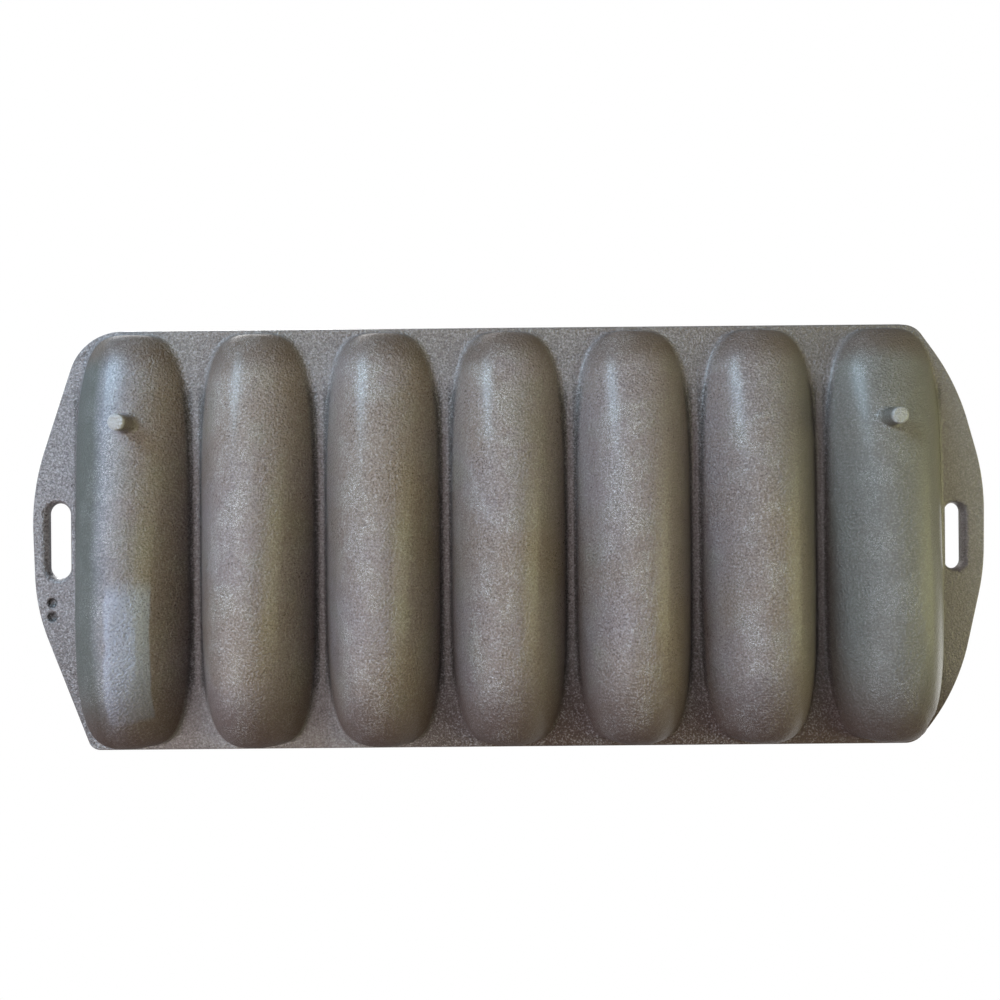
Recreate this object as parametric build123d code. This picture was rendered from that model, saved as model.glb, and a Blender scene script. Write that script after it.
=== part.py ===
from build123d import *
import math
import os

# Cast iron corn stick pan, in millimetres.
# The pan lies as it bakes: cavities open upwards, feet and cup crowns on the plane z = 0.
# The origin is on that plane, under the middle of the pan.
# X runs along the row of cups. The ears' tips point to -Y and their butts to +Y.

# Overall size across the cups, and from the table to the rim's top face
pan_width = 148.0
pan_height = 27.2

# Rim plate and its leaning edge
rim_thickness = 5.0
rim_draft = 0.9

# Row of cups: the outside of one cup where it meets the rim, and the flat land beside it
cup_count = 7
cup_half_width = 20.2
cup_land = 3.1
tip_margin = 0.8
butt_margin = 1.6

# How blunt the cup's ends are, in plan and along the crown: a power of 2 is an ellipse
plan_tip_power_share = 3.8
plan_butt_power_share = 4.4
crown_tip_power_share = 3.0
crown_butt_power_share = 2.7
cavity_extra_power_share = 0.5

# Across the cup the section is flat on the crown and slopes to the rim: a power of 2 is a parabola
outside_section_power = 2.35
cavity_section_power = 2.5
section_steps = 120

# The crown gets deeper from tip to butt, before its ends are rounded
crown_tip_share = 0.45
end_cut_share = 0.985
cup_steps_along = 14
cup_steps_round = 18

# Land left between the end cups' butt corners and the rim's edge
corner_land = 0.6

# Walls of the cups
side_wall = 2.6
end_wall = 3.8
floor_wall = 4.2

# Flats that use has worn on the crowns, and the wide one on the first cup
wear_depth = 0.3
facet_offset = 5.0
facet_start = 10.0
facet_length = 50.0
facet_depth = 0.8

# Kernel impressions in the cavities
kernel_rows = 8
kernel_rings = 20
kernel_depth = 1.0
ring_spread_share = 0.9
cavity_end_share = 0.98

# Handles, from their root beside the end cup's mouth to their outer edge
root_land = 1.2
handle_reach = 17.85

# Slots: each leaves a land to the handle's outer edge and one to its root
slot_left_length = 30.2
slot_left_outer_land = 3.9
slot_left_root_land = 2.3
slot_right_length = 26.6
slot_right_outer_land = 6.4
slot_right_root_land = 1.7
slot_right_shift = 0.9
slot_waist_inset = 1.9

# Round dimples under the left handle
dimple_width = 3.6
dimple_depth = 1.2
dimple_edge = 7.75
dimple_gap = 6.4
dimple_pitch = 4.9

# Feet under the tips of the end cups
foot_width = 5.6
foot_bevel = 0.7
foot_root_depth = 2.6
foot_inset = 4.1
foot_edge = 34.7

# Corners of the rim's outline: how far out from the handle's root as a share of its reach,
# how far along as a share of half the width, and the radius as a share of the whole width
left_outline_shares = (
    (-0.03, -1.0, 0.135),
    (1.015, -0.238, 0.570),
    (0.938, 0.324, 0.466),
    (-0.145, 1.0, 0.035),
)
right_outline_shares = (
    (-0.402, 1.0, 0.060),
    (0.448, 0.751, 0.500),
    (0.983, 0.177, 0.540),
    (1.004, -0.259, 0.540),
    (0.474, -0.720, 0.540),
    (-0.362, -1.0, 0.060),
)

overrun = 1.0

rim_under = pan_height - rim_thickness
half_width = pan_width / 2
cup_pitch = 2 * cup_half_width + cup_land
cup_places = [(number - (cup_count - 1) / 2) * cup_pitch for number in range(cup_count)]
cup_tip_reach = half_width - tip_margin
cup_butt_reach = half_width - butt_margin
handle_root = cup_places[-1] + cup_half_width - side_wall + root_land
half_length = handle_root + handle_reach
foot_place = half_width - foot_edge


def ear_form(place_share, tip_power, butt_power):
    """Fullness of an ear at a place from -1 at its tip to 1 at its butt."""
    power = tip_power if place_share < 0 else butt_power
    return (1 - abs(place_share) ** power) ** (1 / power)


def crown_line(y):
    """Depth share of the crown at y, before the ends are rounded."""
    along = (y + cup_tip_reach) / (cup_tip_reach + cup_butt_reach)
    return crown_tip_share + (1 - crown_tip_share) * along


def reach_at(place_share, tip_reach, butt_reach):
    """Distance along Y of a place share."""
    return place_share * (tip_reach if place_share < 0 else butt_reach)


def crown_form(place_share):
    """Depth share of the cup's outside at a place share."""
    y = reach_at(place_share, cup_tip_reach, cup_butt_reach)
    return crown_line(y) * ear_form(place_share, crown_tip_power_share, crown_butt_power_share)


form_steps = 200
deepest_form = max(crown_form(step / form_steps) for step in range(form_steps))
crown_scale = (rim_under + wear_depth) / deepest_form


def section_form(across_share, power):
    """Depth share of a section at a share of its half width."""
    return 1 - abs(across_share) ** power


def cup_point(place, turn_share):
    """Point of a cup's outside: place along the ear, turn from rim to rim, 0 to 1."""
    y = reach_at(place, cup_tip_reach, cup_butt_reach)
    across = cup_half_width * ear_form(place, plan_tip_power_share, plan_butt_power_share)
    down = crown_scale * crown_form(place)
    share = -math.cos(turn_share * math.pi)
    return Vector(across * share, y, rim_under - down * section_form(share, outside_section_power))


def polygon(*corners):
    """Flat face through its corners."""
    return Face(Wire.make_polygon(corners, close=True))


def cup_outside():
    """Outside of one cup: sections along the ear, closer at its round ends, joined by flat facets."""
    widest_turn = math.asin(end_cut_share)
    places = [math.sin(widest_turn * (2 * step / cup_steps_along - 1)) for step in range(cup_steps_along + 1)]
    grid = [[cup_point(place, step / cup_steps_round) for step in range(cup_steps_round + 1)] for place in places]
    facets = []
    for near, far in zip(grid[:-1], grid[1:]):
        for step in range(cup_steps_round):
            facets.append(polygon(near[step], near[step + 1], far[step]))
            facets.append(polygon(near[step + 1], far[step + 1], far[step]))
    facets.append(polygon(*grid[0]))
    facets.append(polygon(*grid[-1]))
    facets.append(polygon(*[section[0] for section in grid], *[section[-1] for section in reversed(grid)]))
    table = Box(pan_width, pan_width, rim_under, align=(Align.CENTER, Align.CENTER, Align.MAX))
    return Solid(Shell(facets)) - table


def even_share(across, down, turn_share):
    """Share of the cavity's half width at an even share of the way round its wall, from lip to lip."""
    lip_share = (1 - rim_thickness / down) ** (1 / cavity_section_power)
    shares = [lip_share * math.sin(math.pi / 2 * step / section_steps) for step in range(section_steps + 1)]
    lengths = [0.0]
    for inner, outer in zip(shares[:-1], shares[1:]):
        fall = section_form(inner, cavity_section_power) - section_form(outer, cavity_section_power)
        lengths.append(lengths[-1] + math.hypot(across * (outer - inner), down * fall))
    goal = abs(2 * turn_share - 1) * lengths[-1]
    step = 0
    while step < section_steps - 1 and lengths[step + 1] < goal:
        step += 1
    part = (goal - lengths[step]) / (lengths[step + 1] - lengths[step])
    return math.copysign(shares[step] + part * (shares[step + 1] - shares[step]), turn_share - 0.5)


def cavity_point(place, turn_share):
    """Point of the smooth cavity: place along the ear, turn from lip to lip, 0 to 1."""
    y = reach_at(place, cup_tip_reach - end_wall, cup_butt_reach - end_wall)
    across = (cup_half_width - side_wall) * ear_form(place, plan_tip_power_share, plan_butt_power_share)
    tip_power = crown_tip_power_share + cavity_extra_power_share
    butt_power = crown_butt_power_share + cavity_extra_power_share
    full_depth = crown_scale * crown_line(y) + rim_thickness - floor_wall
    down = full_depth * ear_form(place, tip_power, butt_power)
    share = even_share(across, down, turn_share)
    return Vector(across * share, y, pan_height - down * section_form(share, cavity_section_power)), across


def ring_places():
    """Places of the ring boundaries between kernels, closer towards the ear's ends."""
    places = []
    for ring in range(kernel_rings + 1):
        spread = ring_spread_share * (2 * ring / kernel_rings - 1)
        places.append(cavity_end_share * math.sin(spread) / math.sin(ring_spread_share))
    return places


def kernel_tip(place, turn_share):
    """Bottom of one kernel impression, sunk square to the cavity's wall."""
    step_share = 0.01
    here, _ = cavity_point(place, turn_share)
    along = cavity_point(place + step_share, turn_share)[0] - cavity_point(place - step_share, turn_share)[0]
    round_way = cavity_point(place, turn_share + step_share)[0] - cavity_point(place, turn_share - step_share)[0]
    outwards = along.cross(round_way).normalized()
    return here + outwards * kernel_depth


def ear_core():
    """The ear itself, as a solid that leaves the cavity below the rim: four facets a kernel."""
    places = ring_places()
    grid = [[cavity_point(place, row / kernel_rows)[0] for row in range(kernel_rows + 1)] for place in places]
    facets = []
    for ring in range(kernel_rings):
        middle_place = (places[ring] + places[ring + 1]) / 2
        for row in range(kernel_rows):
            corners = (grid[ring][row], grid[ring][row + 1], grid[ring + 1][row + 1], grid[ring + 1][row])
            tip = kernel_tip(middle_place, (row + 0.5) / kernel_rows)
            for number in range(4):
                facets.append(polygon(corners[number], corners[(number + 1) % 4], tip))
    up = Vector(0, 0, overrun)
    for near, far in zip(grid[:-1], grid[1:]):
        facets.append(polygon(near[0], far[0], far[0] + up, near[0] + up))
        facets.append(polygon(near[-1], far[-1], far[-1] + up, near[-1] + up))
    for end in (grid[0], grid[-1]):
        facets.append(polygon(*end, end[-1] + up, end[0] + up))
    lid = [ring[0] + up for ring in grid] + [ring[-1] + up for ring in reversed(grid)]
    facets.append(polygon(*lid))
    return Solid(Shell(facets))


def mouth_core():
    """Opening of one cavity through the rim plate, leaning with the cavity's wall."""
    places = ring_places()
    low = []
    high = []
    for side, along in ((0, places), (1, list(reversed(places)))):
        for place in along:
            lip, across = cavity_point(place, side)
            top = Vector(math.copysign(across, lip.X), lip.Y, pan_height)
            lean = (top - lip) * (overrun / rim_thickness)
            low.append(lip - lean)
            high.append(top + lean)
    facets = [polygon(*low), polygon(*high)]
    for number, corner in enumerate(low):
        facets.append(polygon(low[number - 1], corner, high[number]))
        facets.append(polygon(low[number - 1], high[number], high[number - 1]))
    return Solid(Shell(facets))


def rim_outline():
    """Outline of the whole pan seen from above, with handles."""
    corners = []
    radii = []
    for side, shares in ((-1, left_outline_shares), (1, right_outline_shares)):
        for out, along, radius in shares:
            corners.append((side * (handle_root + out * handle_reach), along * half_width))
            radii.append(radius * pan_width)
    return make_face(FilletPolyline(*corners, radius=radii, close=True))


def plate():
    """Rim plate and handles in one, its edge leaning in towards the underside."""
    lean_degrees = math.degrees(math.atan2(rim_draft, rim_thickness))
    top = Pos(0, 0, pan_height) * rim_outline()
    return extrude(top, amount=-rim_thickness, dir=(0, 0, 1), taper=lean_degrees)


def corner_trim():
    """Space inside the rim's edge that the end cups keep to, leaning in as the edge does."""
    lean_degrees = math.degrees(math.atan2(rim_draft, rim_thickness))
    border = offset(rim_outline(), amount=-(rim_draft + corner_land), kind=Kind.INTERSECTION)
    return extrude(Pos(0, 0, rim_under) * border, amount=-rim_under, dir=(0, 0, 1), taper=lean_degrees)


def slot(width, length):
    """Hanging slot, cast from both faces, so that it is narrowest half way through."""
    lean_degrees = math.degrees(math.atan2(slot_waist_inset, rim_thickness / 2))
    halves = []
    for face_height, drive in ((pan_height, -1), (rim_under, 1)):
        mouth = Pos(0, 0, face_height) * SlotOverall(length, width, rotation=90)
        halves.append(extrude(mouth, amount=drive * rim_thickness / 2, taper=lean_degrees))
    return halves[0] + halves[1]


def dimples():
    """Two round dimples in line below the left slot."""
    punch = Cylinder(dimple_width / 2, dimple_depth, align=(Align.CENTER, Align.CENTER, Align.MIN))
    x = -half_length + dimple_edge
    first = slot_left_length / 2 + dimple_gap
    return [Pos(x, first + number * dimple_pitch, rim_under) * punch for number in range(2)]


def facet_block(cup_x):
    """Block that leaves the leaning worn facet on the first cup's crown."""
    middle_y = facet_start + facet_length / 2
    down = crown_scale * crown_form(middle_y / cup_butt_reach)
    offset_share = facet_offset / cup_half_width
    slope = down / cup_half_width * outside_section_power * offset_share ** (outside_section_power - 1)
    depth = down * section_form(offset_share, outside_section_power)
    skin = Pos(cup_x + facet_offset, middle_y, rim_under - depth) * Rot(0, -math.degrees(math.atan(slope)), 0)
    block = Box(2 * cup_half_width, facet_length, rim_under, align=(Align.CENTER, Align.CENTER, Align.MAX))
    return skin * Pos(0, 0, facet_depth) * block


def foot(cup_x, side):
    """Peg from the table up into the wall of an end cup, its end bevelled."""
    crown = rim_under - crown_scale * crown_form(-foot_place / cup_tip_reach)
    peg = Cylinder(foot_width / 2, crown + foot_root_depth, align=(Align.CENTER, Align.CENTER, Align.MIN))
    peg = chamfer(peg.edges().sort_by(Axis.Z)[0], foot_bevel)
    return Pos(cup_x - side * foot_inset, -foot_place, 0) * peg


def step_out(name, shape):
    """Write one region of the casting."""
    shape.label = name
    export_step(shape, os.path.join("parts", name + ".step"))


os.makedirs("parts", exist_ok=True)

cup = cup_outside() - ear_core()
mouth = mouth_core()
cups = [Pos(cup_x, 0, 0) * cup for cup_x in cup_places]
trim = corner_trim()
cups[0] = (cups[0] & trim) - facet_block(cup_places[0])
cups[-1] = cups[-1] & trim
foot_left = foot(cup_places[0], -1)
foot_right = foot(cup_places[-1], 1)
cups[0] = cups[0] - foot_left
cups[-1] = cups[-1] - foot_right
step_out("foot_left", foot_left)
step_out("foot_right", foot_right)
for number, placed in enumerate(cups):
    step_out(f"cup_{number + 1}", placed)

whole_plate = plate() - [Pos(cup_x, 0, 0) * mouth for cup_x in cup_places]
slot_left_width = handle_reach - slot_left_outer_land - slot_left_root_land
slot_right_width = handle_reach - slot_right_outer_land - slot_right_root_land
slot_left_x = -half_length + slot_left_outer_land + slot_left_width / 2
slot_right_x = half_length - slot_right_outer_land - slot_right_width / 2
whole_plate = whole_plate - Pos(slot_left_x, 0, 0) * slot(slot_left_width, slot_left_length)
whole_plate = whole_plate - Pos(slot_right_x, slot_right_shift, 0) * slot(slot_right_width, slot_right_length)
whole_plate = whole_plate - dimples()
root_block = Pos(0, 0, rim_under) * Box(2 * handle_root, pan_width, pan_height)
step_out("rim_plate", whole_plate & root_block)
ends = (whole_plate - root_block).solids().sort_by(Axis.X)
step_out("handle_left", ends[0])
step_out("handle_right", ends[-1])
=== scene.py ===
import bmesh
import bpy
import math
from mathutils import Matrix, Vector
from mathutils.geometry import delaunay_2d_cdt


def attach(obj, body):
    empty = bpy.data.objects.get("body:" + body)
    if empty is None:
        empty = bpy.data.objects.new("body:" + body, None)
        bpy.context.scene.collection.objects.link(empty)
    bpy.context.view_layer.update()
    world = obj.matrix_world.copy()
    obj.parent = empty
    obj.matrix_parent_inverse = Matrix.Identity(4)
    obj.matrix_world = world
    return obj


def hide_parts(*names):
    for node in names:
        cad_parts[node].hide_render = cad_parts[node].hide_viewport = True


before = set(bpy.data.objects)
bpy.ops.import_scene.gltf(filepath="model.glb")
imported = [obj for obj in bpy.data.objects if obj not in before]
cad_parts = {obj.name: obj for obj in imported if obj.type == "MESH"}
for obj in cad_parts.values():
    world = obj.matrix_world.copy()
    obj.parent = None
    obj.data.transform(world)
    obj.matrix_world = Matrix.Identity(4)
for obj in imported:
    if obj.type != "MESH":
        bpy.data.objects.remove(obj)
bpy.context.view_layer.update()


# Seasoned iron.
# The whole pan is one pour of grey iron. Sand leaves a fine pebbled skin on it, and years of baked-on oil
# turn it dark and rusty brown at the butts of the cups. Its bluish left end and darker olive right end are
# partly the oil's tone and partly painted light.

class Value:
    """A shader socket that adds Math nodes when it is used in sums."""

    def __init__(self, tree, socket):
        self.tree = tree
        self.socket = socket

    def with_(self, operation, *others):
        """Math node of this value and others."""
        values = [self.socket] + [other.socket if isinstance(other, Value) else other for other in others]
        return Value(self.tree, add_node(self.tree, "ShaderNodeMath", {"operation": operation}, values))

    def __add__(self, other):
        return self.with_("ADD", other)

    def __radd__(self, other):
        return self.with_("ADD", other)

    def __sub__(self, other):
        return self.with_("SUBTRACT", other)

    def __rsub__(self, other):
        return self.with_("MULTIPLY_ADD", -1.0, other)

    def __mul__(self, other):
        return self.with_("MULTIPLY", other)

    def __rmul__(self, other):
        return self.with_("MULTIPLY", other)

    def __truediv__(self, other):
        return self.with_("DIVIDE", other)

    def __pow__(self, other):
        return self.with_("POWER", other)

    def from_to(self, low, high):
        """0 below low, 1 above high, with a soft rise between them."""
        settings = {"interpolation_type": "SMOOTHSTEP"}
        sockets = {"Value": self, "From Min": low, "From Max": high}
        return Value(self.tree, add_node(self.tree, "ShaderNodeMapRange", settings, sockets))

    def band(self, start, full, fade, end):
        """1 from full to fade, 0 before start and after end."""
        return self.from_to(start, full) * (1 - self.from_to(fade, end))


def add_node(tree, kind, settings=None, values=None, out=0):
    """Adds a node: its settings first, then the values or links of its sockets. Gives one of its outputs."""
    node = tree.nodes.new(kind)
    for name, setting in (settings or {}).items():
        setattr(node, name, setting)
    pairs = values.items() if isinstance(values, dict) else enumerate(values or ())
    for key, value in pairs:
        if isinstance(value, Value):
            value = value.socket
        if isinstance(value, bpy.types.NodeSocket):
            tree.links.new(value, node.inputs[key])
        else:
            node.inputs[key].default_value = value
    return node.outputs[out] if node.outputs else node


def srgb(red, green, blue):
    """Linear colour of an sRGB one from 0 to 255."""
    shares = [channel / 255 for channel in (red, green, blue)]
    linear = [((share + 0.055) / 1.055) ** 2.4 if share > 0.04045 else share / 12.92 for share in shares]
    return (*linear, 1.0)


def seasoned_iron():
    """Dark seasoned skin over sand-cast iron, with painted shade and highlights in its colour."""
    material = bpy.data.materials.new("seasoned_iron")
    material.use_nodes = True
    tree = material.node_tree
    tree.nodes.clear()
    where = add_node(tree, "ShaderNodeTexCoord", out="Object")
    split = add_node(tree, "ShaderNodeSeparateXYZ", values=[where]).node
    x, y, z = (Value(tree, socket) for socket in split.outputs)
    normal = add_node(tree, "ShaderNodeTexCoord", out="Normal")
    facing = add_node(tree, "ShaderNodeSeparateXYZ", values=[normal]).node

    def noise(scale, detail, roughness=0.5):
        """Noise of that many ripples a metre, from 0 to 1."""
        values = {"Vector": where, "Scale": scale, "Detail": detail, "Roughness": roughness}
        return Value(tree, add_node(tree, "ShaderNodeTexNoise", values=values))

    def mix(factor, first, second):
        """Colour between two, by a factor from 0 to 1; a Mix node has its colours in sockets 6 and 7."""
        sockets = {0: factor, 6: first, 7: second}
        return add_node(tree, "ShaderNodeMix", {"data_type": "RGBA"}, sockets, out=2)

    clouds = noise(28, 3)
    patches = noise(75, 4, 0.6)
    grain = noise(1500, 3, 0.65)
    fine = noise(3600, 2, 0.6)
    pebble_values = {"Vector": where, "Scale": 1000.0, "Randomness": 1.0, "Smoothness": 0.6}
    pebbles = Value(tree, add_node(tree, "ShaderNodeTexVoronoi", {"feature": "SMOOTH_F1"}, pebble_values))
    drift = clouds - 0.5
    wander = (patches - 0.5) * 0.006

    # Masks for the parts of the pan, in metres: the baking side faces up and keeps its plain tone, and the
    # land is the plate's underside with the feet of the cups, 22.2 mm over the table.
    up = Value(tree, facing.outputs["Z"]).from_to(-0.02, 0.06)
    underside = (1 - z.from_to(0.0195, 0.0222)) * (1 - up)
    land = z.from_to(0.0195, 0.0215) - z.from_to(0.0235, 0.0255)
    butt = (y + drift * 0.014).from_to(0.038, 0.068)
    tip = 1 - (y + drift * 0.012).from_to(-0.066, -0.056)

    # Bluish at the left end: partly the skin's tone, partly painted reflection of the bluish window light.
    # Darker
    # olive at the right end: partly the oil's tone, partly painted olive light and painted shade where the
    # left lamps fade. On the outer flank of the first cup, a dark tint, also made matt, that is painted
    # shade.
    blue = 1 - (x + drift * 0.02).from_to(-0.136, -0.118)
    green = (x + drift * 0.04).from_to(0.07, 0.13)
    # Painted shade on the first cup's outer flank, where the left lamps would light it; it is also made
    # matt.
    matt_flank_shade = underside * (1 - (x + drift * 0.006 - y * 0.03).from_to(-0.1370, -0.1310)) * (1 - land)

    # The first cup's crown is rubbed to a bare flat. Its pale bluish tone, raised towards the flat's right
    # edge, is partly that bare iron and partly a painted highlight.
    worn_flat_and_highlight = underside * (x + wander * 0.5).from_to(-0.1315, -0.1300)
    worn_flat_and_highlight = worn_flat_and_highlight * (1 - (x + wander * 0.2).from_to(-0.1190, -0.1184))
    worn_flat_and_highlight = worn_flat_and_highlight * (y + wander).band(0.010, 0.018, 0.0575, 0.0600)

    # What repeats with the cups: a painted highlight of paler grain and glints on each left shoulder, and
    # painted shade in the narrow valleys between them.
    spacing = 0.0435
    row = (x / spacing).with_("FRACT")
    side = (x / spacing + 0.5).with_("FRACT") - 0.5
    shoulder_highlight = underside * side.band(-0.36, -0.22, -0.04, 0.10) * (1 - land)
    # Painted shade: darker near the feet of the cups along each valley, with a pale line left down its
    # middle.
    valley_shade = (row - 0.5).with_("ABSOLUTE").from_to(0.014, 0.032)
    valley_shade = valley_shade * (1 - y.with_("ABSOLUTE").from_to(0.048, 0.056))
    valley_shade = valley_shade * land * (1 - x.with_("ABSOLUTE").from_to(0.1518, 0.1524))

    # Soot on the land by the butts, painted shade in the dimples, brown oil on the butts, and the pegs' ends
    # pale, partly rubbed bare and partly a painted highlight.
    low = y.from_to(0.01, 0.05) * (1 - x.band(-0.150, -0.135, -0.06, 0.0))
    low = low * (1 - x.from_to(0.148, 0.153))
    # Painted shade: near-black in the two dimples of the left handle.
    pit = z.band(0.0224, 0.0227, 0.0240, 0.0244) * x.band(-0.1615, -0.1610, -0.1500, -0.1495)
    pit = pit * y.band(0.0170, 0.0175, 0.0305, 0.0310)
    # Painted highlight, partly rubbed bare iron: a pale tone on the ends of the pegs.
    peg = (1 - z.from_to(0.0006, 0.0016)) * (1 - y.from_to(-0.034, -0.033))
    brown = butt * (1 - up) * (1 - z.from_to(0.0235, 0.0260)) * (1 - land * (1 - x.from_to(-0.06, 0.0)))

    # The sand's grain, quieter on the first cup's shaded flank, at the right end and on the tips and butts.
    # The paler grain is partly painted highlight on the left shoulders, and the white specks are painted
    # glints.
    calm = (1 - matt_flank_shade * 0.7) * (1 - green * 0.45) * (1 - (tip * 0.45 + butt * 0.55) * (1 - land))
    pale_grain_and_highlight = grain.from_to(0.48, 0.70) * (0.28 + land * (0.1 + blue * 0.12) + shoulder_highlight * 0.15) * calm
    dark_grain = (1 - grain.from_to(0.32, 0.5)) * (0.4 + land * (0.1 + blue * 0.12)) * calm
    painted_glints = fine.from_to(0.56, 0.66) * patches.from_to(0.45, 0.6) * calm * (0.2 + shoulder_highlight * 0.6)

    # Tints over each other, each with its share and its colour. Some are painted light, as told above: the
    # bluish and olive ends in part, the first cup's flank, the valleys, the dimples, the worn flat and peg
    # ends in part, and the pale grain and specks.
    tone = mix(clouds.from_to(0.35, 0.65), srgb(97, 83, 73), srgb(99, 87, 84))
    for share, colour in (
            (patches.from_to(0.45, 0.7) * 0.35, (88, 83, 66)),
            (blue * 0.8, (90, 92, 101)),
            (green * 0.8, (80, 79, 71)),
            (matt_flank_shade * 0.9, (46, 47, 38)),
            (land * 0.75, (95, 87, 84)),
            (land * low * 0.5, (50, 40, 34)),
            (pit * 0.8, (22, 20, 19)),
            (valley_shade * 0.8, (46, 40, 36)),
            (worn_flat_and_highlight * (0.75 + x.from_to(-0.128, -0.121) * 0.2), (118, 121, 134)),
            (brown * 0.9, (50, 27, 14)),
            (tip * underside * 0.8, (70, 54, 42)),
            (pale_grain_and_highlight, (165, 161, 161)),
            (dark_grain, (36, 31, 27)),
            (painted_glints * 0.7, (220, 218, 218)),
            (peg * 0.4, (165, 164, 162))):
        tone = mix(share, tone, srgb(*colour))

    rough = 0.33 + (patches - 0.5) * 0.18 + (grain - 0.5) * 0.3
    rough = rough + matt_flank_shade * 0.3 + green * 0.06 + brown * 0.3 + tip * 0.12
    bare = (1 - matt_flank_shade) * (1 - brown * 0.7) * 0.3
    oil = (1 - matt_flank_shade) * (1 - brown * 0.8) * (1 - tip * 0.5) * 0.2
    height = (1 - pebbles) * 0.00025 + grain * 0.0006 + fine * 0.0002 + patches * 0.0003
    bump = add_node(tree, "ShaderNodeBump", values={"Strength": 1.0, "Distance": 1.0, "Height": height})
    sockets = {"Base Color": tone, "Roughness": rough, "Metallic": bare, "Normal": bump,
               "Coat Weight": oil, "Coat Roughness": 0.3}
    surface = add_node(tree, "ShaderNodeBsdfPrincipled", values=sockets)
    add_node(tree, "ShaderNodeOutputMaterial", values={"Surface": surface})
    return material


iron = seasoned_iron()


# Outline of the rim.
# The pan is made in a two-part sand mould, so its edge is drawn in a little towards the underside. The two
# handles grow out of the rim in one smooth line, shaped by hand on the pattern: no two corners match.

mm = 0.001
rim_top = 27.2
rim_under = 22.2
handle_root = 149.3
handle_reach = 17.85
half_plate = 74.0
draft = 0.9
under_round = 0.6
top_round = 0.9
support = 0.1
arc_points = 28

# Each corner: how far out, in handle reaches; how far along, in half plates; its rounding, in plate widths.
left_corners = ((-0.03, -1.0, 0.135), (1.015, -0.238, 0.570), (0.938, 0.324, 0.466), (-0.145, 1.0, 0.035))
right_corners = (
    (-0.402, 1.0, 0.060), (0.448, 0.751, 0.500), (0.983, 0.177, 0.540), (1.004, -0.259, 0.540),
    (0.474, -0.720, 0.540), (-0.362, -1.0, 0.060))


def outward_steps(outline):
    """Unit directions square to a closed outline, pointing out of it."""
    steps = []
    for number, point in enumerate(outline):
        before = Vector(outline[number - 1])
        after = Vector(outline[(number + 1) % len(outline)])
        along = (after - before).normalized()
        steps.append((along.y, -along.x))
    return steps


def rounded_outline(corners):
    """Closed outline through corners, each a point and the radius of the arc that rounds it."""
    points = []
    for number, (corner, radius) in enumerate(corners):
        before = (corners[number - 1][0] - corner).normalized()
        after = (corners[(number + 1) % len(corners)][0] - corner).normalized()
        half_angle = before.angle(after) / 2
        reach = radius / math.tan(half_angle)
        middle = corner + (before + after).normalized() * (radius / math.sin(half_angle))
        start = corner + before * reach - middle
        end = corner + after * reach - middle
        turn = start.angle_signed(end)
        for step in range(arc_points + 1):
            angle = -turn * step / arc_points
            points.append(middle + Matrix.Rotation(angle, 2) @ start)
    return points


def plate_outline():
    """Outline of the plate's top face, handles included, against the clock seen from above."""
    corners = []
    for side, shares in ((-1, left_corners), (1, right_corners)):
        for out, along, radius in shares:
            corner = Vector((side * (handle_root + out * handle_reach), along * half_plate))
            corners.append((corner, radius * 2 * half_plate))
    points = rounded_outline(corners)
    return points if signed_area(points) > 0 else points[::-1]


def inset(outline, distance):
    """Outline moved inwards."""
    steps = outward_steps(outline)
    return [Vector(point) - Vector(step) * distance for point, step in zip(outline, steps)]


def signed_area(outline):
    """Area, positive where the outline runs against the clock."""
    return sum(a[0] * b[1] - a[1] * b[0] for a, b in zip(outline, outline[1:] + outline[:1])) / 2


def nearest_inside(point, outline):
    """The point itself, or the nearest one on the outline where the point lies outside it."""
    best = None
    within = False
    for start, end in zip(outline, outline[1:] + outline[:1]):
        if (start.y > point.y) != (end.y > point.y):
            if point.x < start.x + (end.x - start.x) * (point.y - start.y) / (end.y - start.y):
                within = not within
        along = end - start
        share = max(0.0, min(1.0, (point - start).dot(along) / max(along.length_squared, 1e-9)))
        spot = start + along * share
        if best is None or (spot - point).length_squared < (best - point).length_squared:
            best = spot
    return point if within else best


rim_line = plate_outline()


# The seven cups.
# Each is half an ear of corn, deeper towards its butt, and hangs from the rim with a small cast fillet all
# round. Eight rows of kernel impressions run along its inside, carved in the pattern that the sand took.

cup_pitch = 43.5
cup_places = [(number - 3) * cup_pitch for number in range(7)]
points_round = 320
spine_pull = 0.27
clearance = 0.05
table_gap = 0.02
no_kernel = -9.0


def ear_form(place, powers):
    """Fullness of an ear at a place from -1 at its tip to 1 at its butt."""
    power = powers[place >= 0]
    return max(0.0, 1 - abs(place) ** power) ** (1 / power)


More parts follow.
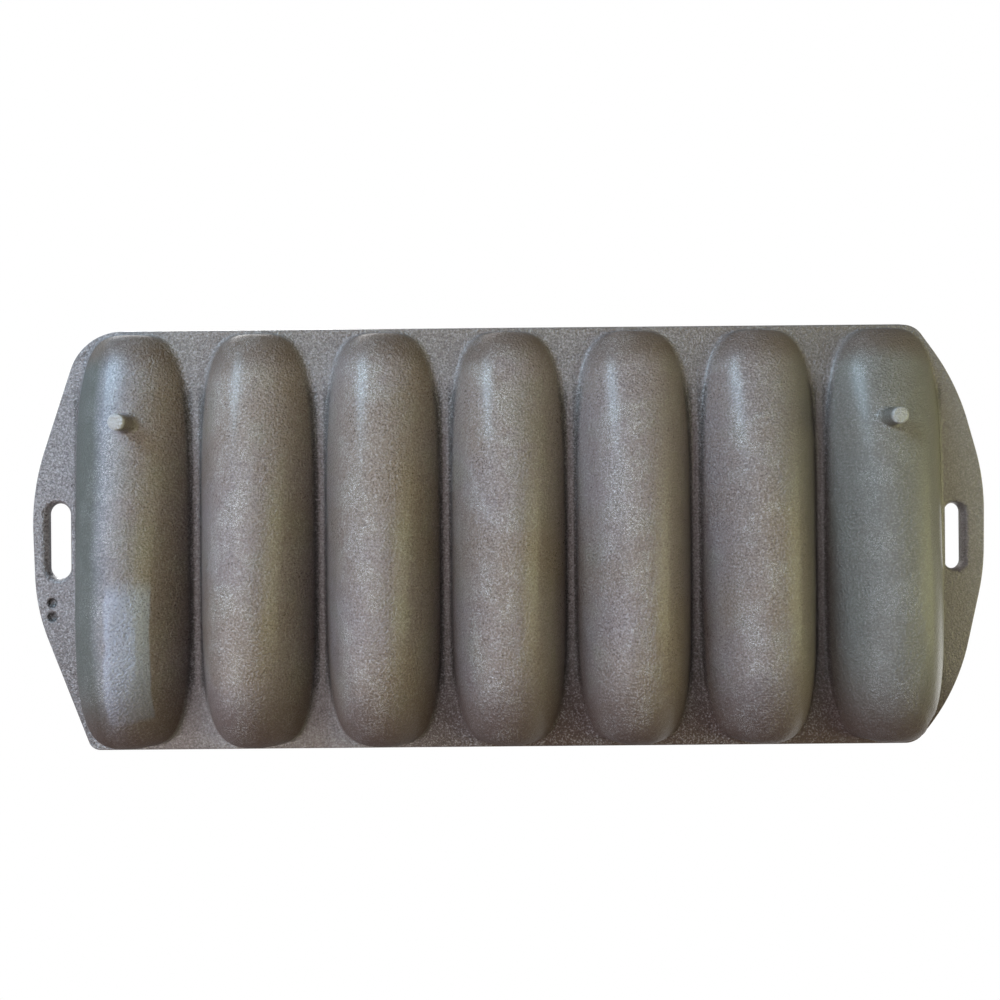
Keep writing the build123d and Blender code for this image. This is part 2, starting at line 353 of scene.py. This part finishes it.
class Ear:
    """Form of an ear: half width, reaches to tip and butt, depths there and the powers of its curves."""

    def __init__(self, half_width, reaches, depths, plan_powers, crown_powers, section_power):
        self.half_width = half_width
        self.reaches = reaches
        self.depths = depths
        self.plan_powers = plan_powers
        self.crown_powers = crown_powers
        self.section_power = section_power

    def reach(self, place):
        """Distance along Y of a place."""
        return place * self.reaches[place >= 0]

    def deepest(self, place):
        """Depth of the crown line at a place."""
        along = (self.reach(place) + self.reaches[0]) / sum(self.reaches)
        line = self.depths[0] + (self.depths[1] - self.depths[0]) * along
        return line * ear_form(place, self.crown_powers)

    def depth(self, x, place):
        """Depth below the mouth's plane: flat on the crown, sloping to the rim."""
        wide = self.half_width * ear_form(place, self.plan_powers)
        share = min(1.0, abs(x) / wide) if wide > 0 else 1.0
        return self.deepest(place) * (1 - share ** self.section_power)

    def outline(self):
        """Even points round the mouth, from the tip up the right side: x and place."""
        steps = 4000
        side = []
        for step in range(steps + 1):
            angle = math.pi * (step / steps - 0.5)
            power = self.plan_powers[angle >= 0]
            place = math.copysign(abs(math.sin(angle)) ** (2 / power), angle)
            side.append((self.half_width * math.cos(angle) ** (2 / power) if step < steps else 0.0, place))
        side[0] = (0.0, -1.0)
        lengths = [0.0]
        for (x0, p0), (x1, p1) in zip(side[:-1], side[1:]):
            lengths.append(lengths[-1] + math.hypot(x1 - x0, self.reach(p1) - self.reach(p0)))
        half = points_round // 2
        points = []
        number = 0
        for point in range(half + 1):
            goal = lengths[-1] * point / half
            while number < steps - 1 and lengths[number + 1] < goal:
                number += 1
            share = (goal - lengths[number]) / max(lengths[number + 1] - lengths[number], 1e-9)
            share = min(1.0, share)
            (x0, p0), (x1, p1) = side[number], side[number + 1]
            points.append((x0 + (x1 - x0) * share, p0 + (p1 - p0) * share))
        return points + [(-x, place) for x, place in reversed(points[1:-1])]


def ear_rings(ear, mouth_height, side_reach, end_reach, inner_rings):
    """Rings of points from the flat round the mouth, over its rounded edge, down to the crown line."""
    outline = ear.outline()
    flat = [(x, ear.reach(place)) for x, place in outline]
    out = outward_steps(flat)
    turns = 8
    first_share = 0.955
    crowding = 1.5
    rings = [[]]
    slopes = []
    for (x, y), (ox, oy) in zip(flat, out):
        probe = 0.6
        place = (y - oy * probe) / ear.reaches[y >= 0]
        slopes.append(math.atan2(ear.depth(x - ox * probe, place), probe))
        reach = end_reach + (side_reach - end_reach) * ox ** 2 + support
        rings[0].append((x + ox * reach, y + oy * reach, mouth_height))
    for turn in range(turns + 1):
        ring = []
        for (x, y), (ox, oy), slope in zip(flat, out, slopes):
            reach = end_reach + (side_reach - end_reach) * ox ** 2
            radius = reach / math.tan(slope / 2)
            angle = slope * turn / turns
            push = reach - radius * math.sin(angle)
            ring.append((x + ox * push, y + oy * push, mouth_height - radius * (1 - math.cos(angle))))
        rings.append(ring)
    places = [None] * len(rings)
    for number in range(1, inner_rings + 1):
        shrink = first_share * (1 - ((number - 1) / (inner_rings - 1)) ** crowding)
        ring = []
        at = []
        for x, place in outline:
            moved = place - (1 - shrink) * spine_pull * abs(place) ** 3 * math.copysign(1, place)
            drop = ear.depth(x * shrink, moved)
            ring.append((x * shrink if number < inner_rings else 0.0, ear.reach(moved), mouth_height - drop))
            at.append((x * shrink, moved))
        rings.append(ring)
        places.append(at)
    return rings, places


def in_place(rings, cup_x):
    """Rings set in their place along the row; the end cups' corners keep inside the underside's edge."""
    placed = [[(cup_x + x, y, z) for x, y, z in ring] for ring in rings]
    if cup_x not in (cup_places[0], cup_places[-1]):
        return placed
    edge = inset(rim_line, draft + under_round + support + clearance)
    for number in range(points_round):
        start = Vector(placed[0][number][:2])
        move = nearest_inside(start, edge) - start
        for count, ring in enumerate(placed):
            fade = min(1.0, 1.3 - count / len(placed))
            x, y, z = ring[number]
            ring[number] = (x + move.x * fade, y + move.y * fade, z)
    return placed


def ring_mesh(bm, rings, flip):
    """Skin over rings of points; the last ring is folded shut along the spine."""
    rows = []
    for number, ring in enumerate(rings):
        if number < len(rings) - 1:
            rows.append([bm.verts.new([value * mm for value in point]) for point in ring])
        else:
            half = len(ring) // 2
            spine = [bm.verts.new([value * mm for value in point]) for point in ring[:half + 1]]
            rows.append(spine + spine[half - 1:0:-1])
    for outer, inner in zip(rows[:-1], rows[1:]):
        for number in range(len(outer)):
            after = (number + 1) % len(outer)
            corners = [outer[number], outer[after], inner[after], inner[number]]
            if flip:
                corners.reverse()
            kept = [vert for place, vert in enumerate(corners) if vert not in corners[:place]]
            if len(kept) > 2:
                bm.faces.new(kept)
    return rows


outside = Ear(half_width=20.2, reaches=(71.6, 71.3), depths=(12.47, 27.71),
              plan_powers=(3.9, 4.4), crown_powers=(3.0, 2.7), section_power=2.35)
cavity = Ear(half_width=17.5, reaches=(69.3, 68.5), depths=(13.27, 28.51),
             plan_powers=(3.8, 4.4), crown_powers=(3.5, 3.2), section_power=2.5)
foot_reach = 1.35
foot_end_reach = 0.65
lip_reach = 0.7
outside_rings, _ = ear_rings(outside, rim_under, foot_reach, foot_end_reach, 34)
cavity_rings, cavity_places = ear_rings(cavity, rim_top, lip_reach, lip_reach, 56)
kernel_rows = 8
kernel_rings = 20
kernel_depth = 1.0


def section_length(ear, share, wide, deep):
    """Length round a section's wall from the crown to a share of its half width."""
    steps = 24
    length = 0.0
    before = 0.0
    for step in range(1, steps + 1):
        after = share * step / steps
        length += math.hypot(wide * (after - before),
                             deep * (after ** ear.section_power - before ** ear.section_power))
        before = after
    return length


def kernel_place(x, place):
    """Row and ring of kernels at a point of the cavity, counted in kernels."""
    wide = cavity.half_width * ear_form(place, cavity.plan_powers)
    deep = cavity.deepest(place)
    lip_drop = 5.0
    last_turn = 0.9
    last_place = 0.98
    turn = math.asin(max(-1.0, min(1.0, place * math.sin(last_turn) / last_place)))
    ring = kernel_rings / 2 * (turn / last_turn + 1)
    if deep < lip_drop + 0.5 or wide <= 0:
        return no_kernel, ring
    lip = (1 - lip_drop / deep) ** (1 / cavity.section_power)
    whole = section_length(cavity, lip, wide, deep)
    way = section_length(cavity, min(abs(x) / wide, 1.0), wide, deep) / whole
    return kernel_rows * (0.5 + math.copysign(way, x) / 2), ring


kernel_places = [places and [kernel_place(*point) for point in places] for places in cavity_places]


def cup_mesh(name, cup_x):
    """One cup: its outside, its cavity and the hidden wall between them through the rim's thickness."""
    bm = bmesh.new()
    row_at = bm.verts.layers.float.new("row_at")
    ring_at = bm.verts.layers.float.new("ring_at")
    outer = ring_mesh(bm, in_place(outside_rings, cup_x), False)
    for vert in bm.verts:
        vert[row_at] = no_kernel
    inner = ring_mesh(bm, [[(cup_x + x, y, z) for x, y, z in ring] for ring in cavity_rings], True)
    for ring, places in zip(inner, kernel_places):
        for number, vert in enumerate(ring):
            if places is None:
                vert[row_at] = no_kernel
            else:
                spot = min(number, len(ring) - number) if ring is inner[-1] else number
                vert[row_at], vert[ring_at] = places[spot]
    for number in range(points_round):
        after = (number + 1) % points_round
        bm.faces.new([outer[0][after], outer[0][number], inner[0][number], inner[0][after]])
    mesh = bpy.data.meshes.new(name)
    bm.to_mesh(mesh)
    bm.free()
    return mesh


def kernel_tree():
    """Geometry nodes that sink a rounded pit for every kernel into the cavity's wall."""
    tree = bpy.data.node_groups.new("kernel_pits", "GeometryNodeTree")
    face = tree.interface
    face.new_socket("Geometry", in_out="INPUT", socket_type="NodeSocketGeometry")
    for name, value in (("Kernel depth", 0.001), ("Edge power", 3.0), ("Unevenness", 0.2)):
        socket = face.new_socket(name, in_out="INPUT", socket_type="NodeSocketFloat")
        socket.default_value = value
    face.new_socket("Seed", in_out="INPUT", socket_type="NodeSocketFloat").default_value = 1.0
    face.new_socket("Finish", in_out="INPUT", socket_type="NodeSocketMaterial")
    face.new_socket("Geometry", in_out="OUTPUT", socket_type="NodeSocketGeometry")
    given = tree.nodes.new("NodeGroupInput").outputs

    def float_at(name):
        values = {"Name": name}
        return Value(tree, add_node(tree, "GeometryNodeInputNamedAttribute", {"data_type": "FLOAT"}, values))

    def pillow(at, count):
        """0 at a kernel's edges and beyond the last one, 1 over its middle."""
        inside = at.with_("GREATER_THAN", 0.0) * at.with_("LESS_THAN", float(count))
        share = at.with_("FRACT") * 2 - 1
        return (1 - share.with_("ABSOLUTE") ** Value(tree, given["Edge power"])) * inside

    row = float_at("row_at")
    ring = float_at("ring_at")
    seed_step = 7.31
    seed = Value(tree, given["Seed"]) * seed_step
    cell = add_node(tree, "ShaderNodeCombineXYZ", values=[row.with_("FLOOR"), ring.with_("FLOOR"), seed])
    chance = add_node(tree, "ShaderNodeTexWhiteNoise", {"noise_dimensions": "3D"}, {"Vector": cell})
    uneven = 1 + (Value(tree, chance) - 0.5) * Value(tree, given["Unevenness"])
    share = pillow(row, kernel_rows) * pillow(ring, kernel_rings)
    sink = share * uneven * Value(tree, given["Kernel depth"]) * -1
    normal = add_node(tree, "GeometryNodeInputNormal")
    move = add_node(tree, "ShaderNodeVectorMath", {"operation": "SCALE"}, {"Vector": normal, "Scale": sink})
    moved = add_node(tree, "GeometryNodeSetPosition", values={"Geometry": given["Geometry"], "Offset": move})
    real = add_node(tree, "GeometryNodeRealizeInstances", values=[moved])
    skin = {"Geometry": real, "Material": given["Finish"]}
    finished = add_node(tree, "GeometryNodeSetMaterial", values=skin)
    add_node(tree, "NodeGroupOutput", values=[finished])
    return tree


def nodes_to_mesh(thing, tree, inputs):
    """Runs a tree of geometry nodes on an object and keeps the result as its plain mesh."""
    modifier = thing.modifiers.new("nodes", "NODES")
    modifier.node_group = tree
    for item in tree.interface.items_tree:
        if item.item_type == "SOCKET" and item.in_out == "INPUT" and item.name in inputs:
            modifier[item.identifier] = inputs[item.name]
    graph = bpy.context.evaluated_depsgraph_get()
    mesh = bpy.data.meshes.new_from_object(thing.evaluated_get(graph))
    thing.modifiers.remove(modifier)
    thing.data = mesh


def finish_piece(name, mesh, node):
    """Puts a piece in the scene in place of its CAD node, smooth but for its sharp edges."""
    thing = bpy.data.objects.new(name, mesh)
    bpy.context.scene.collection.objects.link(thing)
    if not mesh.materials:
        mesh.materials.append(iron)
    sharp_degrees = 40
    mesh.polygons.foreach_set("use_smooth", [True] * len(mesh.polygons))
    mesh.set_sharp_from_angle(angle=math.radians(sharp_degrees))
    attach(thing, "root")
    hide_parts(node)
    return thing


def cut_flat(mesh, point, normal):
    """Grinds a mesh down to a plane, leaving a flat face."""
    bm = bmesh.new()
    bm.from_mesh(mesh)
    everything = bm.verts[:] + bm.edges[:] + bm.faces[:]
    cut = bmesh.ops.bisect_plane(
        bm, geom=everything, dist=1e-7, plane_co=point, plane_no=normal, clear_outer=True)
    edges = [part for part in cut["geom_cut"] if isinstance(part, bmesh.types.BMEdge) and part.is_boundary]
    if edges:
        bmesh.ops.contextual_create(bm, geom=edges)
    bm.to_mesh(mesh)
    bm.free()


pits = kernel_tree()
for number, cup_x in enumerate(cup_places):
    piece = bpy.data.objects.new("shaping", cup_mesh("shaping", cup_x))
    bpy.context.scene.collection.objects.link(piece)
    nodes_to_mesh(piece, pits, {"Kernel depth": kernel_depth * mm, "Edge power": 3.0, "Unevenness": 0.25,
                                "Seed": float(number + 1), "Finish": iron})
    shape = piece.data
    bpy.data.objects.remove(piece)
    for name in ("row_at", "ring_at"):
        shape.attributes.remove(shape.attributes[name])
    cut_flat(shape, (0, 0, table_gap * mm), (0, 0, -1))
    if number == 0:
        worn_x, worn_y, worn_depth = 5.0, 36.0, 0.8
        worn_lean = 0.02
        place = worn_y / outside.reaches[1]
        slope = (outside.deepest(place) / outside.half_width * outside.section_power
                 * (worn_x / outside.half_width) ** (outside.section_power - 1))
        height = rim_under - outside.depth(worn_x, place) + worn_depth
        spot = ((cup_x + worn_x) * mm, worn_y * mm, height * mm)
        cut_flat(shape, spot, Vector((slope, worn_lean, -1)).normalized())
    shape.name = f"cup_{number + 1}_skin"
    finish_piece(f"ear_cup_{number + 1}", shape, f"cup_{number + 1}")


# Rim plate and handles.
# One flat plate, five millimetres thick, joins the cups and runs out into a handle at each end, its edge
# drawn in towards the underside so that it left the sand. The slots are cast from both faces.

slots = (((-157.43, 0.0), 11.65, 30.2), ((155.88, 0.9), 9.75, 26.6))
slot_waist = 1.9
slot_flare = 0.4
dimple_x = -159.4
dimple_places = (21.5, 26.4)
dimple_profile = ((2.1, 0.0), (1.85, 0.04), (1.7, 0.2), (1.5, 0.65), (1.1, 1.0), (0.6, 1.16))


def slot_outline(centre, width, length):
    """Round-ended slot along Y."""
    steps = 24
    radius = width / 2
    straight = length / 2 - radius
    points = []
    for end, start in ((1, 0.0), (-1, math.pi)):
        for step in range(steps + 1):
            angle = start + math.pi * step / steps
            points.append(Vector((centre[0] + radius * math.cos(angle),
                                  centre[1] + end * straight + radius * math.sin(angle))))
    return points


def inside(point, outline):
    """Whether a point is inside an outline."""
    x, y = point
    odd = False
    for (x0, y0), (x1, y1) in zip(outline, outline[1:] + outline[:1]):
        if (y0 > y) != (y1 > y) and x < (x1 - x0) * (y - y0) / (y1 - y0) + x0:
            odd = not odd
    return odd


def strip(bm, lower, upper):
    """Faces between two rings of vertices, facing right of the way they run."""
    for number in range(len(lower)):
        after = (number + 1) % len(lower)
        bm.faces.new([lower[number], lower[after], upper[after], upper[number]])


def flat_face(bm, border, holes, up):
    """Triangles over a flat region between its border and its holes, all rings of vertices."""
    rings = [border] + holes
    verts = [vert for ring in rings for vert in ring]
    flat = [Vector((vert.co.x / mm, vert.co.y / mm)) for vert in verts]
    edges = []
    start = 0
    loops = []
    for ring in rings:
        count = len(ring)
        edges += [(start + number, start + (number + 1) % count) for number in range(count)]
        loops.append([tuple(point) for point in flat[start:start + count]])
        start += count
    found, _, faces, origins, _, _ = delaunay_2d_cdt(flat, edges, [], 1, 1e-7)
    lost = [tuple(found[place]) for place, origin in enumerate(origins) if not origin]
    if lost:
        raise ValueError(f"outlines cross at {lost[:12]}")
    for face in faces:
        corners = [origins[place][0] for place in face]
        middle = sum((flat[corner] for corner in corners), Vector((0, 0))) / 3
        if not inside(middle, loops[0]) or any(inside(middle, loop) for loop in loops[1:]):
            continue
        if not up:
            corners.reverse()
        bm.faces.new([verts[corner] for corner in corners])


def ring_of(bm, outline, height):
    """Ring of vertices over an outline."""
    return [bm.verts.new((point[0] * mm, point[1] * mm, height * mm)) for point in outline]


def edge_profile():
    """Steps of the plate's edge, from its underside to its top: how far in and how high."""
    steps = 5
    turns = [math.pi / 2 * step / steps for step in range(steps + 1)]
    profile = [(draft + under_round + support, rim_under)]
    for angle in turns:
        inwards = draft + under_round * (1 - math.sin(angle))
        profile.append((inwards, rim_under + under_round * (1 - math.cos(angle))))
    for angle in turns:
        inwards = top_round * (1 - math.cos(angle))
        profile.append((inwards, rim_top - top_round * (1 - math.sin(angle))))
    profile.append((top_round + support, rim_top))
    return profile


def open_slot(bm, centre, width, length):
    """Wall of a slot, narrowest halfway up; gives its rings at the underside and at the top."""
    half_thick = (rim_top - rim_under) / 2
    cup_foot = cup_places[-1] + outside.half_width + foot_reach + support + clearance
    side = math.copysign(1, centre[0])
    waist_edge = abs(centre[0]) - width / 2 + slot_waist

    def beside_cup(shape, sink):
        """Slot outline that stays clear of the end cup's foot, the more so nearer the underside."""
        nearest = waist_edge + (cup_foot - waist_edge) * sink
        return [Vector((side * max(side * point.x, nearest), point.y)) for point in shape]

    rings = []
    steps = 8
    for step in range(-steps, steps + 1):
        angle = math.pi / 2 * step / steps
        narrow = 2 * slot_waist * math.cos(angle)
        shape = slot_outline(centre, width - narrow, length - narrow)
        if step < 0:
            shape = beside_cup(shape, -step / steps)
        rings.append(ring_of(bm, shape, rim_under + half_thick + half_thick * math.sin(angle)))
    mouth = slot_outline(centre, width + slot_flare, length + slot_flare)
    low = ring_of(bm, beside_cup(mouth, 1.0), rim_under)
    high = ring_of(bm, mouth, rim_top)
    rings = [low] + rings + [high]
    for lower, upper in zip(rings[:-1], rings[1:]):
        strip(bm, upper, lower)
    return low, high


def sink_dimple(bm, along):
    """Blind round mark in the left handle's underside; gives its ring there."""
    steps = 28
    rings = []
    for radius, sink in dimple_profile:
        circle = []
        for step in range(steps):
            angle = math.tau * step / steps
            circle.append(Vector((dimple_x + radius * math.cos(angle), along + radius * math.sin(angle))))
        rings.append(ring_of(bm, circle, rim_under + sink))
    for lower, upper in zip(rings[:-1], rings[1:]):
        strip(bm, upper, lower)
    bm.faces.new(rings[-1][::-1])
    return rings[0]


def whole_plate():
    """The rim plate with both handles, its holes open."""
    bm = bmesh.new()
    rings = [ring_of(bm, inset(rim_line, distance), height) for distance, height in edge_profile()]
    for lower, upper in zip(rings[:-1], rings[1:]):
        strip(bm, lower, upper)
    under_holes = []
    top_holes = []
    for cup_x in cup_places:
        low = ring_of(bm, in_place(outside_rings[:1], cup_x)[0], rim_under)
        high = ring_of(bm, [(cup_x + x, y) for x, y, z in cavity_rings[0]], rim_top)
        strip(bm, high, low)
        under_holes.append(low)
        top_holes.append(high)
    for centre, width, length in slots:
        low, high = open_slot(bm, centre, width, length)
        under_holes.append(low)
        top_holes.append(high)
    for along in dimple_places:
        under_holes.append(sink_dimple(bm, along))
    flat_face(bm, rings[0], under_holes, False)
    flat_face(bm, rings[-1], top_holes, True)
    return bm


plate = whole_plate()
plate_mesh = bpy.data.meshes.new("plate")
plate.to_mesh(plate_mesh)
plate.free()
for name, node, cuts in (
        ("flat_rim", "rim_plate", ((-1, -1), (1, 1))),
        ("left_handle", "handle_left", ((-1, 1),)),
        ("right_handle", "handle_right", ((1, -1),))):
    part = plate_mesh.copy()
    for side, away in cuts:
        cut_flat(part, (side * handle_root * mm, 0, 0), (away, 0, 0))
    finish_piece(name, part, node)


# The feet.
# Two short round pegs under the tips of the end cups. The crowns are shallow there, so the pegs hold the
# pan level on the oven's shelf. They are cast with the cups, and their ends are worn smooth.

foot_out = 126.4
foot_along = -39.3
foot_radius = 2.8
foot_bevel = 0.8
foot_fillet = 1.6


def foot_mesh(cup_x, side):
    """Peg with a fillet that follows the cup it stands on, and a root that runs on into the cup's wall."""
    points = 36
    around = [math.tau * step / points for step in range(points)]
    spots = [(math.cos(angle), math.sin(angle)) for angle in around]
    centre = (side * foot_out, foot_along)

    def circle(radius):
        return [(centre[0] + radius * across, centre[1] + radius * along) for across, along in spots]

    def cup_height(x, y):
        return rim_under - outside.depth(x - cup_x, y / outside.reaches[y >= 0])

    end_radius = foot_radius - foot_bevel
    end_dish = 0.4
    profile = [(end_radius - end_dish, table_gap)]
    steps = 5
    for step in range(1, steps + 1):
        angle = math.pi / 2 * step / steps
        height = table_gap + foot_bevel * (1 - math.cos(angle))
        profile.append((end_radius + foot_bevel * math.sin(angle), height))
    profile += [(foot_radius, 2.5), (foot_radius, 4.5)]
    rings = [[(x, y, height) for x, y in circle(radius)] for radius, height in profile]
    seam = 0.05
    turns = 6
    for turn in range(turns + 1):
        angle = math.pi / 2 * turn / turns
        drop = foot_fillet * (1 - math.sin(angle))
        spread = foot_radius + foot_fillet * (1 - math.cos(angle))
        rings.append([(x, y, cup_height(x, y) - drop + seam) for x, y in circle(spread)])
    root = 1.2
    rings.append([(x, y, z + root) for x, y, z in rings[-1]])
    bm = bmesh.new()
    rows = [[bm.verts.new([value * mm for value in point]) for point in ring] for ring in rings]
    for lower, upper in zip(rows[:-1], rows[1:]):
        strip(bm, lower, upper)
    bm.faces.new(rows[0][::-1])
    bm.faces.new(rows[-1])
    mesh = bpy.data.meshes.new("foot")
    bm.to_mesh(mesh)
    bm.free()
    return mesh


finish_piece("left_foot_peg", foot_mesh(cup_places[0], -1), "foot_left")
finish_piece("right_foot_peg", foot_mesh(cup_places[-1], 1), "foot_right")


# Studio.
# A pale floor carries the pan for views from above. What comes up from below passes through it, so that the
# camera under the pan sees the underside against a white room.

def stage_material(name, colour):
    """Pale matt floor that is clear to what comes from below and fades out far from the pan."""
    material = bpy.data.materials.new(name)
    material.use_nodes = True
    tree = material.node_tree
    tree.nodes.clear()
    back = Value(tree, add_node(tree, "ShaderNodeNewGeometry", out="Backfacing"))
    passed = Value(tree, add_node(tree, "ShaderNodeLightPath", out="Transparent Depth"))
    passed = passed.with_("GREATER_THAN", 0.5)
    place = add_node(tree, "ShaderNodeTexCoord", out="Object")
    length = add_node(tree, "ShaderNodeVectorMath", {"operation": "LENGTH"}, [place], out="Value")
    radius = Value(tree, length)
    clear = (back + passed + radius.from_to(0.4, 0.9)).with_("MINIMUM", 1.0)
    matt = add_node(tree, "ShaderNodeBsdfDiffuse", values={"Color": colour})
    glass = add_node(tree, "ShaderNodeBsdfTransparent")
    surface = add_node(tree, "ShaderNodeMixShader", values=[clear, matt, glass])
    add_node(tree, "ShaderNodeOutputMaterial", values={"Surface": surface})
    return material


floor_mesh = bpy.data.meshes.new("floor")
wide = 3.0
floor_corners = [(-wide, -wide, 0), (wide, -wide, 0), (wide, wide, 0), (-wide, wide, 0)]
floor_mesh.from_pydata(floor_corners, [], [(0, 1, 2, 3)])
floor_mesh.materials.append(stage_material("pale_floor", (0.86, 0.85, 0.84, 1.0)))
floor = bpy.data.objects.new("floor", floor_mesh)
bpy.context.scene.collection.objects.link(floor)

world = bpy.data.worlds.new("room")
bpy.context.scene.world = world
world.use_nodes = True
world.node_tree.nodes.clear()
path = add_node(world.node_tree, "ShaderNodeLightPath").node
seen = Value(world.node_tree, path.outputs["Is Camera Ray"])
room_light = 0.3
strength = seen * (1 - room_light) + room_light
background = add_node(world.node_tree, "ShaderNodeBackground", values=[(1.0, 1.0, 1.0, 1.0), strength])
add_node(world.node_tree, "ShaderNodeOutputWorld", values={"Surface": background})


def lamp(name, place, aim, size, power, colour):
    """Soft lamp; its size is its width and its height."""
    data = bpy.data.lights.new(name, "AREA")
    data.shape = "RECTANGLE"
    data.size, data.size_y = size
    data.energy = power
    data.color = colour
    thing = bpy.data.objects.new(name, data)
    thing.location = place
    thing.rotation_euler = (Vector(aim) - Vector(place)).to_track_quat("-Z", "Y").to_euler()
    bpy.context.scene.collection.objects.link(thing)


lamp("window_below", (-0.54, -0.46, -0.44), (0.0, -0.02, 0.01), (0.26, 0.28), 11.5, (0.56, 0.80, 1.0))
lamp("wall_below", (-0.50, 0.20, -0.42), (0.0, 0.0, 0.01), (0.36, 0.80), 4.3, (0.93, 0.90, 0.96))
lamp("ceiling_below", (-0.20, -0.12, -0.85), (0, 0, 0.02), (0.46, 0.70), 2.9, (1.0, 0.94, 0.98))
lamp("shelf_below", (1.25, 0.04, -0.62), (0.0, 0.0, 0.02), (0.50, 1.2), 15.0, (1.0, 1.0, 0.50))
lamp("window_above", (-0.6, -0.7, 1.0), (0, 0, 0.02), (0.8, 0.8), 16, (1.0, 1.0, 1.0))
lamp("fill_above", (0.9, 0.5, 0.9), (0, 0, 0.02), (1.0, 1.0), 7, (1.0, 1.0, 1.0))

camera_data = bpy.data.cameras.new("photo")
camera_data.sensor_width = 36.0
camera_data.lens = 29.1
camera_data.clip_start = 0.01
camera = bpy.data.objects.new("photo", camera_data)
bpy.context.scene.collection.objects.link(camera)
eye_below = 282.0
eye = Vector((-2.86, -13.05, rim_under - eye_below)) * mm
roll = math.radians(0.51)
look = Vector((0, 0, 1))
up = Vector((math.sin(roll), -math.cos(roll), 0))
right = look.cross(up)
camera.matrix_world = Matrix((
    (right.x, up.x, -look.x, eye.x),
    (right.y, up.y, -look.y, eye.y),
    (right.z, up.z, -look.z, eye.z),
    (0, 0, 0, 1)))
bpy.context.scene.camera = camera
bpy.context.scene.view_settings.view_transform = "Standard"
